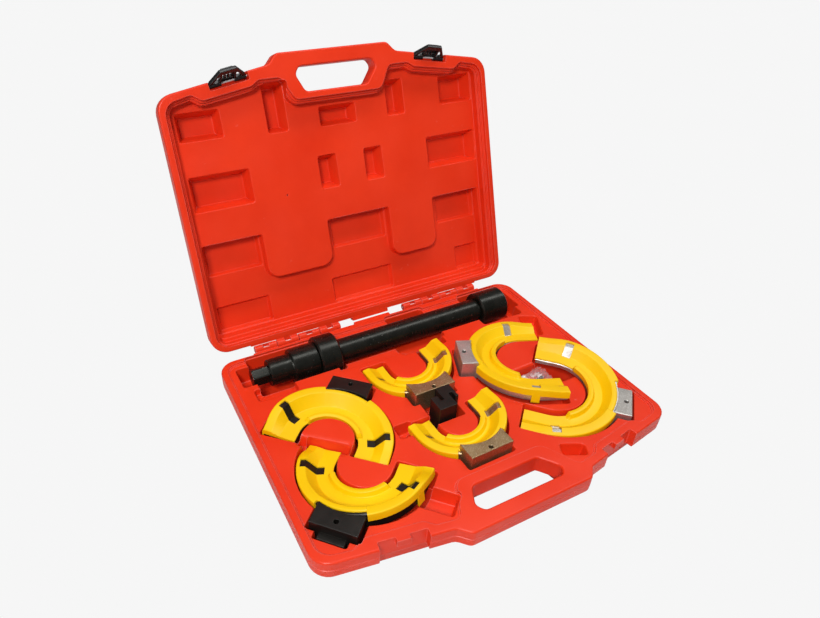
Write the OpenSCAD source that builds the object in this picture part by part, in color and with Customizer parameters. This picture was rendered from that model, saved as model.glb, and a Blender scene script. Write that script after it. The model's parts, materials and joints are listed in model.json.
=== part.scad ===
// Coil spring compressor kit: a telescopic screw spindle, three pairs of
// spring yokes with clip-on protectors, a drive adapter and a bag of small
// parts, kept in a hinged double-walled carrying case.
// The case is drawn open. Inside the file every height is measured from the
// plane where the two halves meet, and every depth from the hinge axis.

/* [Case] */
// Width of the case along the hinge
case_w = 520; // [516:1:526]
// Height of the base from the floor to the closing plane
base_h = 48; // [48:1:52]
// Height of the lid above the closing plane
lid_h = 48; // [47:1:52]
// Height of the wide rim band on each half
band_h = 26; // [24:1:30]
// Thickness of the moulded walls
wall_t = 2.4; // [2:0.1:2.8]
// Drop from the rim of the base to the deck
deck_drop = 4; // [3:0.5:5]
// Depth from the closing plane to the raised panel of the lid
panel_z = 22; // [22:0.5:24]
// Depth from the closing plane to the well above the spindle
well_z = 37; // [36:0.5:39]
// Depth from the closing plane to the floors of the lid pockets
kiss_z = 44; // [43:0.5:44.5]
// Angle the lid stands open
open_angle = 109; // [100:1:112]
// Radius of the moulded hinge knuckles
knuckle_r = 6; // [5:0.5:6.5]
// Radius of the hinge and latch pins
pin_r = 1.5; // [1.4:0.1:1.8]

/* [Latches] */
// Distance of each latch from the middle of the case
latch_x = 160; // [158:1:162]
// Width of a latch across its two arms
latch_w = 54; // [52:1:56]
// Swing of the latch away from its closed position
latch_open = 30; // [30:5:60]

/* [Spindle] */
// Radius of the outer tube
tube_r = 19; // [18:0.5:20]
// Radius of the upper collar
upper_r = 33; // [31:0.5:33.5]
// Radius of the lower collar
lower_r = 27.5; // [26:0.5:28]
// Radius of the wide step of the bearing housing
step_r = 26; // [24:0.5:27]
// Radius of the narrow end of the bearing housing
nose_r = 20; // [19:0.5:21]
// Hexagon of the drive head, across its flats
hex_af = 24; // [22:1:26]
// Radius of the drive screw over its thread
screw_r = 9.9; // [9.5:0.1:9.9]
// Travel of the sleeve that fits inside the closed pocket
sleeve_travel = 12; // [8:1:12]

/* [Small yokes] */
// Inner radius of the small seat
small_ri = 31; // [30:0.5:33]
// Outer radius of the small seat
small_ro = 62; // [60:0.5:63]
// Width of the small block
small_block = 64; // [60:1:66]
// Reach of the small block from the centre of the seat
small_reach = 74; // [72:0.5:75]

/* [Medium yokes] */
// Inner radius of the medium seat
medium_ri = 39; // [38:0.5:41]
// Outer radius of the medium seat
medium_ro = 82; // [80:0.5:83]
// Width of the medium block
medium_block = 59; // [56:1:61]
// Reach of the medium block from the centre of the seat
medium_reach = 105; // [103:0.5:106]

/* [Large yokes] */
// Inner radius of the large seat
large_ri = 50; // [49:0.5:52]
// Outer radius of the large seat
large_ro = 89; // [87:0.5:90]
// Width of the large block
large_block = 54; // [52:1:56]
// Reach of the large block from the centre of the seat
large_reach = 107; // [105:0.5:108]

/* [Yoke sections] */
// Thickness of the steel seat
seat_t = 8; // [7:0.5:8.5]
// Thickness of the steel rim wall
rim_t = 5; // [4:0.5:6]
// Height of the rim wall above the seat
rim_h = 12; // [10:0.5:12.5]
// Height of a yoke block
block_h = 33; // [30:1:34]
// Radius of the locking hole in each block
lock_r = 3; // [2.5:0.5:4]
// Thickness of the plastic protectors
guard_t = 2.4; // [2:0.2:2.6]

/* [Hidden] */

hinge_y = 205;
half_w = case_w / 2;
rear_y = -8;
side_y = -371.5;
nose_x = 100;
nose_y = -397.3;
grip_x = 87;
grip_y = -411;
front_angle = atan2(side_y - nose_y, half_w - nose_x);
seam_gap = 0.4;
grip_t = 22;
cut = 200;
run = 0.05;
round_n = 6;
arc_n = 24;

// --- outlines -------------------------------------------------------------
function unit(v) = v / norm(v);
function wrap(a) = a > 180 ? a - 360 : a < -180 ? a + 360 : a;
function flat(p) = [p[0], p[1]];

// Points of one rounded corner c between its neighbours p and q.
function corner(p, c, q, r, n) = let (
    u = unit(p - c),
    v = unit(q - c),
    h = acos(u * v) / 2,
    m = c + unit(u + v) * r / sin(h),
    a = c + u * r / tan(h) - m,
    b = c + v * r / tan(h) - m,
    s = atan2(a[1], a[0]),
    e = wrap(atan2(b[1], b[0]) - s))
  [for (i = [0:n]) m + r * [cos(s + e * i / n), sin(s + e * i / n)]];

// An outline given as [x, y, corner radius], with its corners rounded.
function rounded(p, n = round_n) = [for (i = [0:len(p) - 1])
    let (a = flat(p[(i + len(p) - 1) % len(p)]), c = flat(p[i]), b = flat(p[(i + 1) % len(p)]))
    for (k = p[i][2] > 0 ? corner(a, c, b, p[i][2], n) : [c]) k];

// The same outline moved outwards by g; outlines run anticlockwise.
function grown(p, g) = [for (i = [0:len(p) - 1])
    let (
      c = flat(p[i]),
      u = unit(flat(p[(i + len(p) - 1) % len(p)]) - c),
      v = unit(flat(p[(i + 1) % len(p)]) - c),
      turn = sign(u[1] * v[0] - u[0] * v[1]),
      h = acos(u * v) / 2)
    concat(c - unit(u + v) * g * turn / sin(h), [max(p[i][2] + g * turn, 0)])];

function box_at(x0, x1, y0, y1, r) = [[x1, y1, r], [x0, y1, r], [x0, y0, r], [x1, y0, r]];

function rim_outline() = [
  [half_w, rear_y, 25], [-half_w, rear_y, 25], [-half_w, side_y, 25], [-nose_x, nose_y, 12],
  [-grip_x, grip_y, 10], [grip_x, grip_y, 10], [nose_x, nose_y, 12], [half_w, side_y, 25]];

// The inner edge of the rim, which steps in behind each latch and the grip.
function deck_outline() = [
  [half_w - 9, -17, 18], [-half_w + 9, -17, 18], [-half_w + 9, -362, 20], [-213, -370, 8],
  [-200, -361, 8], [-129, -372, 8], [-118, -383, 8], [-88, -388, 10], [-64, -341, 16],
  [64, -341, 16], [88, -388, 10], [118, -383, 8], [129, -372, 8], [200, -361, 8],
  [213, -370, 8], [half_w - 9, -362, 20]];

// The inner edge of the lid, which stays clear of the grip.
function panel_outline() = [
  [half_w - 9, -17, 18], [-half_w + 9, -17, 18], [-half_w + 9, -362, 20], [-213, -370, 8],
  [-200, -361, 8], [-129, -372, 8], [-118, -379, 8], [-84, -379, 10], [-66, -341, 14],
  [66, -341, 14], [84, -379, 10], [118, -379, 8], [129, -372, 8], [200, -361, 8],
  [213, -370, 8], [half_w - 9, -362, 20]];

// The body below the rim band, which stays behind the grip opening.
function body_outline(inset) = [
  [half_w - inset, rear_y - 2, 22], [-half_w + inset, rear_y - 2, 22],
  [-half_w + inset, side_y + inset + 4, 22], [-96, nose_y + inset + 6, 8], [-76, nose_y + inset + 4, 6],
  [-68, -347, 8], [68, -347, 8], [76, nose_y + inset + 4, 6], [96, nose_y + inset + 6, 8],
  [half_w - inset, side_y + inset + 4, 22]];

function grip_hole() = [[47, -356, 9], [-51, -356, 9], [-63, -380, 8], [-56, -390.5, 8],
  [58, -390.5, 8], [65, -380, 8]];

// The horseshoe of a yoke: a half ring and two legs, block side towards -Y.
function horseshoe(ri, ro, leg, n = arc_n) = concat(
  [[-ro, leg]],
  [for (i = [0:n]) ro * [cos(180 + 180 * i / n), sin(180 + 180 * i / n)]],
  [[ro, leg], [ri, leg]],
  [for (i = [0:n]) ri * [cos(360 - 180 * i / n), sin(360 - 180 * i / n)]],
  [[-ri, leg]]);

module slab(outline, z0, z1) translate([0, 0, z0]) linear_extrude(z1 - z0) polygon([for (p = outline) flat(p)]);

// --- frames ---------------------------------------------------------------
// From the hinge frame to the floor frame.
module in_case() translate([0, hinge_y, base_h]) children();

// From the closed lid to the open lid.
module on_lid() in_case() rotate([-open_angle, 0, 0]) children();

// Local z runs along the spindle, from the drive head towards the end cap.
module on_spindle() in_case() translate([0, spindle_y, spindle_z]) rotate([0, 90, 0]) children();

// A yoke frame: the centre of the seat, with the block towards -Y.
module at_yoke(p) in_case() translate([p[0], p[1], 0]) rotate([0, 0, p[2]]) children();

function edge_y(x) = side_y - (half_w - abs(x)) * tan(front_angle);

// A latch frame: the pin centre, X along the case edge and -Y outwards.
module at_latch(side) translate([side * latch_x, edge_y(latch_x), 0])
  rotate([0, 0, side * front_angle])
    translate([0, latch_inset, 0])
      children();

// --- spindle stations along the case ---------------------------------------
spindle_y = -50;
spindle_z = -8;
hex_x = -222;
nose_start = -196.5;
step_start = -162;
collar_start = -121.5;
collar_end = -89;
lower_start = 169;
lower_end = 218;
cap_end = 222;
shaft_r = 12;
bore_r = 17.6;
sleeve_r = 14.5;
nut_r = 11.5;
bearing_x = -184;
race_t = 3;
ball_r = 2.2;
ring_t = 1.6;
nut_start = -60;
nut_end = -34;
slot_w = 37;
slot_d = 10;

// --- yoke placements: x, y, turn, seat height, block top, tilt, pocket floor
at_small_rear = [-7, -130, 0, -7, 12, 8, -27.5];
at_small_front = [-3.5, -255.5, 1, -7, 11.5, 8, -27.5];
at_medium_rear = [-172, -207, 136, -12, 7, 6, -32];
at_medium_front = [-148.5, -268, -47, -13, 5, 8, -36];
at_large_left = [161, -198, 247, -4, 17, 5, -22.5];
at_large_right = [153, -262, 43.5, -6, 1, 8, -35];

// Sizes: inner radius, outer radius, leg length, block width, block reach, neck, rim height.
small_size = [small_ri, small_ro, 20, small_block, small_reach, 0.5, rim_h];
medium_size = [medium_ri, medium_ro, 16, medium_block, medium_reach, 9, rim_h + 4];
large_size = [large_ri, large_ro, 30, large_block, large_reach, 3, rim_h];
yokes = [
  [small_size, at_small_rear], [small_size, at_small_front],
  [medium_size, at_medium_rear], [medium_size, at_medium_front],
  [large_size, at_large_left], [large_size, at_large_right]];
neck_w = 34;
head_t = 12;
pocket_gap = 4;

// --- latch geometry --------------------------------------------------------
latch_inset = 5.5;
latch_pin_z = 9;
latch_t = 5;
latch_drop = 26;
latch_end = 24;
bar_h = 7;
barrel_r = 3.6;
tab_h = 9;

// --- case -------------------------------------------------------------------
// One hinge knuckle; up is 1 for the lid and -1 for the base.
knuckle_w = 35.5;
knuckle_x0 = 57.5;
module knuckle(x, up) {
  translate([x, 0, 0]) rotate([0, 90, 0]) cylinder(r = knuckle_r, h = knuckle_w - 0.8);
  z0 = up > 0 ? seam_gap : -knuckle_r + 1;
  translate([x, rear_y - 4, z0]) cube([knuckle_w - 0.8, -rear_y + 4, knuckle_r - 1 - seam_gap]);
}

// Knuckles alternate along each of the two hinge groups.
module knuckles(first, up) {
  for (side = [-1, 1], i = [first, first + 2])
    knuckle(side > 0 ? knuckle_x0 + i * knuckle_w : -knuckle_x0 - (4 - i) * knuckle_w, up);
}

// Ledges that close the gap along the hinge: [x0, x1, reach towards the axis].
ledge_h = 10;
ledges = [[-204, -30, -knuckle_r - 0.7], [-34, 30, -1.2], [26, 204, -knuckle_r - 0.7]];
module hinge_ledges(up) {
  for (k = ledges)
    translate([k[0], rear_y - 3, up > 0 ? seam_gap : -ledge_h])
      cube([k[1] - k[0], k[2] - rear_y + 3, ledge_h - seam_gap]);
}

module pin_bores() {
  for (side = [-1, 1])
    translate([side > 0 ? knuckle_x0 - 1 : -knuckle_x0 - 4 * knuckle_w - 1, 0, 0])
      rotate([0, 90, 0])
        cylinder(r = pin_r + run, h = 4 * knuckle_w + 2);
}

// Pockets in the deck, each grown by g for the skin below it.
module yoke_pocket(s, p, g) {
  w = pocket_gap + g;
  translate([p[0], p[1], 0]) rotate([0, 0, p[2]]) {
    slab(horseshoe(s[0] - w, s[1] + w + 2, s[2] + w, 16), p[6] - g, cut);
    slab(rounded(box_at(-s[3] / 2 - w, s[3] / 2 + w, -s[4] - w + 1, -s[1] + 12, 3), 2), p[6] - g, cut);
    slab(rounded(box_at(-neck_w / 2 - w, neck_w / 2 + w, -s[4] - s[5] - w + 1, -s[4] + 6, 3), 2),
      p[6] - g, cut);
  }
}

// [x0, x1, y0, y1, floor, corner radius]: the spindle trough and finger wells.
troughs = [
  [-239, -215, -69, -27, -30, 4],
  [-219.3, -84, -88, -12.5, -43.2, 4],
  [-90, 160, -80, -26, -31, 4],
  [16, 84, -90, -12.6, -29, 5],
  [-1, 77, -106, -70, -26, 5],
  [156, 232.5, -96, -12.4, -38, 5],
  [226, 241, -76, -26.5, -32, 4],
  [-100, 20, -98.5, -76, -11, 4],
  [-228.5, -170, -106, -80, -14, 5],
  [-30, 13, -250, -203, -30, 3],
  [122, 203, -256, -209, -30, 6],
  [-88, -62, -252, -228, -24, 4]];

// Finger wells that lie at an angle: [x, y, turn, length, width, floor].
turned_wells = [
  [-97, -353, -47, 46, 32, -22],
  [100, -364, -26, 32, 18, -22],
  [222, -130, 63, 50, 30, -18],
  [-186, -224, -47, 44, 30, -30], [-181, -214.5, -41, 68, 14, -22]];

module pockets(g) {
  for (t = troughs)
    slab(rounded(box_at(t[0] - g, t[1] + g, t[2] - g, t[3] + g, t[5]), 3), t[4] - g, cut);
  for (t = turned_wells)
    translate([t[0], t[1], 0]) rotate([0, 0, t[2]])
      slab(rounded(box_at(-t[3] / 2 - g, t[3] / 2 + g, -t[4] / 2 - g, t[4] / 2 + g, 4), 3), t[5] - g, cut);
  for (y = yokes) yoke_pocket(y[0], y[1], g);
}

// The base catches: two slots a latch's arms drop into, joined below a tab.
tab_w = 17;
module base_catches(g) {
  for (side = [-1, 1])
    at_latch(side) {
      for (arm = [-1, 1])
        slab(box_at(arm * (tab_w + latch_w + 5) / 4 - (latch_w + 5 - tab_w) / 4 - g,
          arm * (tab_w + latch_w + 5) / 4 + (latch_w + 5 - tab_w) / 4 + g, -20, 4.5 + g, 0), -band_h - 1, 1);
      slab(box_at(-latch_w / 2 - 2.5 - g, latch_w / 2 + 2.5 + g, -20, 4.5 + g, 0), -band_h - 1, -tab_h + g);
      slab(box_at(-tab_w / 2 - 1, tab_w / 2 + 1, -20, -1.5 + g, 0), -tab_h - 1, 1);
    }
}

module base_shell() color([0.93, 0.22, 0.13]) in_case() difference() {
  union() {
    slab(rounded(rim_outline()), -band_h, 0);
    slab(rounded(body_outline(9)), -base_h, -band_h + 2);
    knuckles(0, -1);
    hinge_ledges(-1);
  }
  slab(rounded(deck_outline()), -deck_drop, 1);
  slab(rounded(grip_hole()), -cut, cut);
  slab(rounded(box_at(-70, 70, -440, -349, 8)), -cut, -grip_t);
  pockets(0);
  base_catches(0);
  pin_bores();
  difference() {
    union() {
      slab(rounded(grown(rim_outline(), -wall_t)), -band_h + wall_t, -wall_t);
      slab(rounded(grown(body_outline(9), -wall_t)), -base_h + wall_t, -band_h + 5);
    }
    slab(rounded(grown(deck_outline(), wall_t)), -deck_drop - wall_t, 1);
    slab(rounded(grown(grip_hole(), wall_t)), -cut, cut);
    slab(rounded(box_at(-70 - wall_t, 70 + wall_t, -440, -349 + wall_t, 8)), -cut, -grip_t + wall_t);
    pockets(wall_t);
    base_catches(wall_t);
  }
  translate([-246, -230, -band_h + 6]) rotate([0, -90, 0]) cylinder(r = 1.5, h = 30, $fn = 24);
}

// The well above the spindle, with the two tongues of the raised panel.
function well_outline() = [
  [243, -24, 8], [-243, -24, 8], [-240, -165, 2], [-148.5, -165, 2], [-148.5, -95.7, 18],
  [-41.5, -95.7, 18], [-41.5, -165, 2], [66.6, -165, 2], [66.6, -83.4, 18], [150, -83.4, 18],
  [150, -165, 2], [240, -165, 2]];

// Pockets of the lid that touch its outer skin: [x0, x1, y0, y1].
lid_pockets = [
  [-237, -176, -349, -311], [-110, -80, -374, -306], [-28, 31, -333, -305], [86, 116, -358, -306],
  [183, 242, -353, -311], [150, 242, -263, -214], [-41.5, -12, -263, -214], [36, 66.6, -263, -214],
  [-237, -149.5, -263, -214], [-236, -153, -165, -117], [-33, 62, -165, -117], [163, 238, -165, -117],
  [-236, -152, -68, -28], [-44, 65, -68, -28], [193, 238, -68, -28]];

// A pocket with drafted sides: the mouth is the given box.
draft = 5;
module lid_pocket(b, g) {
  slab(box_at(b[0] - g, b[1] + g, b[2] - g, b[3] + g, 0), -1, panel_z + 0.5 * (kiss_z - panel_z) + g);
  slab(box_at(b[0] + draft - g, b[1] - draft + g, b[2] + draft - g, b[3] - draft + g, 0), -1, kiss_z + g);
}

module lid_latch_seats(g) {
  x = latch_w / 2 + 1.5 + g;
  for (side = [-1, 1])
    at_latch(side) slab(box_at(-x, x, -20, latch_inset + g, 0), -1, 19 + g);
}

module latch_pin_bores() {
  for (side = [-1, 1])
    at_latch(side) translate([-latch_w / 2 - 6, 0, latch_pin_z]) rotate([0, 90, 0])
      cylinder(r = pin_r + run, h = latch_w + 12);
}

module lid_shell() color([0.93, 0.22, 0.13]) on_lid() difference() {
  union() {
    slab(rounded(rim_outline()), seam_gap, band_h);
    slab(rounded(body_outline(8)), band_h - 2, lid_h);
    knuckles(1, 1);
    hinge_ledges(1);
  }
  slab(rounded(panel_outline()), -1, panel_z);
  slab(rounded(grip_hole()), -cut, cut);
  slab(rounded(box_at(-70, 70, -440, -349, 8)), grip_t, cut);
  slab(rounded(well_outline()), -1, well_z);
  for (b = lid_pockets) lid_pocket(b, 0);
  lid_latch_seats(0);
  latch_pin_bores();
  pin_bores();
  difference() {
    union() {
      slab(rounded(grown(rim_outline(), -wall_t)), seam_gap + wall_t, band_h - wall_t);
      slab(rounded(grown(body_outline(8), -wall_t)), band_h - 5, lid_h - wall_t);
    }
    slab(rounded(grown(panel_outline(), wall_t)), -1, panel_z + wall_t);
    slab(rounded(grown(grip_hole(), wall_t)), -cut, cut);
    slab(rounded(box_at(-70 - wall_t, 70 + wall_t, -440, -349 + wall_t, 8)), grip_t - wall_t, cut);
    slab(rounded(grown(well_outline(), wall_t)), -1, well_z + wall_t);
    for (b = lid_pockets) lid_pocket(b, wall_t);
    lid_latch_seats(wall_t + 2);
  }
  translate([-99, -215, panel_z - 5]) cylinder(r = 1.2, h = 12, $fn = 24);
}

module hinge_pins() color([0.8, 0.8, 0.8]) in_case() {
  for (side = [-1, 1])
    translate([side > 0 ? knuckle_x0 : -knuckle_x0 - 4 * knuckle_w, 0, 0]) rotate([0, 90, 0])
      cylinder(r = pin_r, h = 4 * knuckle_w - 0.8);
}

// --- latches -----------------------------------------------------------------
module latch(side) color([0.08, 0.08, 0.08]) on_lid() at_latch(side)
  translate([0, 0, latch_pin_z]) rotate([-latch_open, 0, 0]) difference() {
    union() {
      translate([-latch_w / 2, 0, 0]) rotate([0, 90, 0]) cylinder(r = barrel_r, h = latch_w);
      translate([0, latch_t / 2 - 1, 0]) rotate([90, 0, 0]) linear_extrude(latch_t) polygon([
        [latch_w / 2, 0], [-latch_w / 2, 0], [-latch_w / 2, -6], [-latch_end / 2, -latch_drop],
        [latch_end / 2, -latch_drop], [latch_w / 2, -6]]);
      translate([-9, -latch_t / 2 - 3.5, -latch_drop + 2]) cube([18, 4, latch_drop - 7]);
    }
    for (arm = [-1, 1])
      translate([arm * 14 - 2.5, -10, -latch_drop + bar_h + 4]) cube([5, 20, 9]);
    translate([-tab_w / 2 - 1, -latch_t / 2 + 0.4, -latch_drop + bar_h]) cube([tab_w + 2, 10, 20]);
    translate([-latch_w, 0, 0]) rotate([0, 90, 0]) cylinder(r = pin_r + run, h = 2 * latch_w);
  }

module latch_left() latch(-1);
module latch_right() latch(1);

module latch_pin(side) color([0.75, 0.75, 0.75]) on_lid() at_latch(side)
  translate([-latch_w / 2 - 5, 0, latch_pin_z]) rotate([0, 90, 0]) cylinder(r = pin_r, h = latch_w + 10);
module latch_pin_left() latch_pin(-1);
module latch_pin_right() latch_pin(1);

// --- spindle -----------------------------------------------------------------
module rod(r, x0, x1) translate([0, 0, x0]) cylinder(r = r, h = x1 - x0);

module bearing_housing() color([0.13, 0.13, 0.12]) on_spindle() difference() {
  union() {
    rod(nose_r, nose_start, step_start + 1);
    rod(step_r, step_start, collar_start - 0.2);
  }
  rod(shaft_r + run, nose_start - 1, collar_start);
  rod(bore_r, bearing_x, collar_start);
}

module yoke_slot(x0, x1, r)
  translate([r - slot_d, -slot_w / 2, x0 + 9]) cube([slot_d + 5, slot_w, x1 - x0 - 18]);

module upper_collar() color([0.12, 0.12, 0.11]) on_spindle() difference() {
  rod(upper_r, collar_start, collar_end);
  rod(tube_r + run, collar_start - 1, collar_end + 1);
  yoke_slot(collar_start, collar_end, upper_r);
}

module outer_tube() color([0.15, 0.15, 0.13]) on_spindle() difference() {
  rod(tube_r, collar_start, lower_start - 1);
  rod(sleeve_r, collar_start - 1, lower_start);
  translate([0, 0, 150]) rotate([0, 90, 0]) cylinder(r = 2.5 + run, h = 30);
}

module drive_screw() color([0.2, 0.2, 0.19]) on_spindle() {
  difference() {
    union() {
      translate([0, 0, hex_x]) cylinder(r = hex_af / 2 / cos(30), h = nose_start - hex_x - 0.2, $fn = 6);
      rod(shaft_r, nose_start - 1, bearing_x + 2 * race_t + 2 * ball_r + 0.3);
      rod(16.5, bearing_x + 2 * race_t + 2 * ball_r + 0.2, bearing_x + 20);
      rod(screw_r, bearing_x + 18, 40);
    }
    rod(4, hex_x - 1, hex_x + 3);
  }
}

module thrust_races() color([0.75, 0.75, 0.75]) on_spindle() {
  for (x = [bearing_x + run, bearing_x + race_t + 2 * ball_r + 0.1])
    difference() {
      rod(bore_r - 0.1, x, x + race_t);
      rod(shaft_r + run, x - 1, x + race_t + 1);
    }
}

module thrust_balls() color([0.85, 0.85, 0.85]) on_spindle() {
  for (i = [0:11])
    rotate([0, 0, 30 * i]) translate([14.8, 0, bearing_x + race_t + ball_r + 0.075])
      sphere(r = ball_r, $fn = 48);
}

module retaining_ring() color([0.6, 0.6, 0.6]) on_spindle() difference() {
  rod(bore_r - 0.05, collar_start - ring_t - 2, collar_start - 2);
  rod(13, collar_start - 6, collar_start);
  translate([-3, 10, collar_start - 6]) cube([6, 10, 8]);
}

module guide_screw() color([0.3, 0.3, 0.3]) on_spindle()
  translate([tube_r - 6, 0, 150]) rotate([0, 90, 0]) cylinder(r = 2.5, h = 6);

module inner_sleeve() color([0.25, 0.25, 0.24]) on_spindle() difference() {
  rod(sleeve_r - run, nut_start - 4, lower_end - 0.5);
  rod(nut_r, nut_start - 5, lower_end + 1);
  translate([sleeve_r - 2.2, -2.7, 128]) cube([5, 5.4, 30]);
  for (a = [90, 270])
    rotate([0, 0, a]) translate([sleeve_r - 4, 0, 195]) rotate([0, 90, 0]) cylinder(r = 2, h = 8);
}

module screw_nut() color([0.75, 0.62, 0.25]) on_spindle() difference() {
  rod(nut_r - 0.03, nut_start, nut_end);
  rod(screw_r + run, nut_start - 1, nut_end + 1);
}

module lower_collar() color([0.12, 0.12, 0.11]) on_spindle() difference() {
  rod(lower_r, lower_start, lower_end);
  rod(sleeve_r, lower_start - 1, lower_end + 1);
  yoke_slot(lower_start + 4, lower_end - 4, lower_r);
  for (a = [90, 270])
    rotate([0, 0, a]) translate([sleeve_r - 4, 0, 195]) rotate([0, 90, 0]) cylinder(r = 2, h = 40);
}

module sleeve_pins() color([0.35, 0.35, 0.34]) on_spindle()
  for (a = [90, 270])
    rotate([0, 0, a]) translate([sleeve_r - 3.9, 0, 195]) rotate([0, 90, 0])
      cylinder(r = 2 - run, h = lower_r - sleeve_r + 3.4);

module end_cap() color([0.78, 0.78, 0.78]) on_spindle() difference() {
  union() {
    rod(21, lower_end + 0.05, cap_end);
    rod(nut_r - 0.05, lower_end - 13, lower_end + 0.1);
  }
  rod(6, cap_end - 2, cap_end + 1);
}

// --- yokes -------------------------------------------------------------------
module tilted(p) translate([0, 0, p[3]]) rotate([0, -p[5], 0]) children();

module yoke(s, p) at_yoke(p) difference() {
  union() {
    tilted(p) {
      slab(horseshoe(s[0], s[1], s[2]), -seat_t, 0);
      difference() {
        slab(horseshoe(s[1] - rim_t, s[1], s[2]), -1, s[6]);
        slab(box_at(-s[3] / 2 + 3, s[3] / 2 - 3, -s[4], 0, 0), s[6] - 3, cut);
      }
    }
    difference() {
      union() {
        slab(box_at(-s[3] / 2, s[3] / 2, -s[4], 0, 0), p[4] - head_t, p[4]);
        slab(box_at(-neck_w / 2, neck_w / 2, -s[4] - s[5], 0, 0), p[4] - block_h, p[4] - head_t + 1);
      }
      slab([for (i = [0:71]) (s[1] - 1) * [cos(5 * i), sin(5 * i)]], -cut, cut);
    }
  }
  translate([0, -(s[1] + s[4]) / 2 - 1, p[4] - 20]) cylinder(r = lock_r, h = 30);
}

// Arc of the horseshoe between two angles, for lips and clip tabs.
function band(r0, r1, a0, a1, n = 12) = concat(
  [for (i = [0:n]) let (a = a0 + (a1 - a0) * i / n) r1 * [cos(a), sin(a)]],
  [for (i = [n:-1:0]) let (a = a0 + (a1 - a0) * i / n) r0 * [cos(a), sin(a)]]);

// Clip-on protector: floor, liner, rim cap, outer flange, inner lip and tabs.
module guard(s, p) color([1, 0.82, 0.02]) at_yoke(p) tilted(p) {
  top = s[6] + run + guard_t;
  keep = s[3] / 2 + 2.5;
  difference() {
    union() {
      slab(horseshoe(s[0] - 1.5, s[1] - rim_t - run, s[2] + 1), run, run + guard_t);
      slab(horseshoe(s[1] - rim_t - 3, s[1] - rim_t - run, s[2] + 1), 1, top);
      difference() {
        slab(horseshoe(s[1] - rim_t - 2, s[1] + guard_t + run, s[2] + 1), s[6] + run, top);
        slab(box_at(-keep, keep, -s[4], -s[0], 0), -cut, cut);
      }
      slab(band(s[1] - rim_t - 2, s[1] - 2.2, 225, 315), s[6] + run, top);
      difference() {
        slab(horseshoe(s[1] + run, s[1] + guard_t + run, s[2] + 1), s[6] - 9, top - 0.5);
        slab(box_at(-keep, keep, -s[4], 0, 0), -cut, cut);
      }
      slab(band(s[0] - 1.5, s[0] + 1, 218, 322), 1, 9);
      for (a = [196, 344])
        slab(band(s[1] + run, s[1] + guard_t + run, a - 4.5, a + 4.5, 3), -seat_t - 1, s[6] - 4);
    }
    for (a = [203, 337])
      rotate([0, 0, a]) translate([s[1] - rim_t - 14, -5, -1]) cube([10, 10, guard_t + 3]);
  }
}

module small_yoke_rear() color([0.66, 0.54, 0.38]) yoke(small_size, at_small_rear);
module small_yoke_front() color([0.66, 0.54, 0.38]) yoke(small_size, at_small_front);
module medium_yoke_rear() color([0.1, 0.1, 0.09]) yoke(medium_size, at_medium_rear);
module medium_yoke_front() color([0.1, 0.1, 0.09]) yoke(medium_size, at_medium_front);
module large_yoke_left() color([0.68, 0.67, 0.64]) yoke(large_size, at_large_left);
module large_yoke_right() color([0.68, 0.67, 0.64]) yoke(large_size, at_large_right);
module small_guard_rear() guard(small_size, at_small_rear);
module small_guard_front() guard(small_size, at_small_front);
module medium_guard_rear() guard(medium_size, at_medium_rear);
module medium_guard_front() guard(medium_size, at_medium_front);
module large_guard_left() guard(large_size, at_large_left);
module large_guard_right() guard(large_size, at_large_right);

// --- adapter and small parts ---------------------------------------------------
adapter_x = -26.5;
adapter_y = -246;
adapter_top = 16;
adapter_base = -29;
module drive_adapter() color([0.09, 0.09, 0.08]) in_case() translate([adapter_x, adapter_y, 0]) difference() {
  slab([[0, 0], [27, 0], [27, 23.2], [33, 23.2], [33, 13.5], [37.5, 13.5], [37.5, 38.5], [15.5, 38.5],
    [15.5, 15.5], [10.5, 15.5], [10.5, 25], [0, 25]], adapter_base, adapter_top);
  translate([12, -1, adapter_top - 26]) rotate([-90, 0, 0]) cylinder(r = 2.5, h = 12);
}

bag_outline = [[172, -216, 6], [136, -214, 6], [132, -222, 5], [142, -239, 6], [176, -237, 8]];
module parts_bag() color([0.9, 0.9, 0.92, 0.4]) in_case() difference() {
  slab(rounded(bag_outline, 3), -27, -9);
  slab(rounded(grown(bag_outline, -1.2), 3), -25.8, -10.2);
}

// Four spare grub screws lying in the bag.
module spare_screws() color([0.15, 0.15, 0.15]) in_case()
  for (i = [0:3])
    translate([141 + 8 * i, -228 + 2 * (i % 2), -22]) rotate([0, 90, 25]) difference() {
      cylinder(r = 3, h = 6);
      translate([0, 0, 3]) cylinder(r = 1.6, h = 4, $fn = 6);
    }

base_shell();
lid_shell();
hinge_pins();
latch_left();
latch_right();
latch_pin_left();
latch_pin_right();
bearing_housing();
upper_collar();
outer_tube();
drive_screw();
thrust_races();
thrust_balls();
retaining_ring();
guide_screw();
inner_sleeve();
screw_nut();
lower_collar();
end_cap();
sleeve_pins();
small_yoke_rear();
small_guard_rear();
small_yoke_front();
small_guard_front();
medium_yoke_rear();
medium_guard_rear();
medium_yoke_front();
medium_guard_front();
large_yoke_left();
large_guard_left();
large_yoke_right();
large_guard_right();
drive_adapter();
parts_bag();
spare_screws();
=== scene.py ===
"""Looks of the coil spring compressor kit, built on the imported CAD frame.

Lengths are in millimetres in the case frame: X along the hinge, Y towards the hinge with zero on its axis,
Z up from the plane where the two halves meet. Each piece is turned into the shared frame, in metres,
at the end.
"""

import json
import math

import bmesh
import bpy
from mathutils import Matrix, Vector, noise

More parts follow.
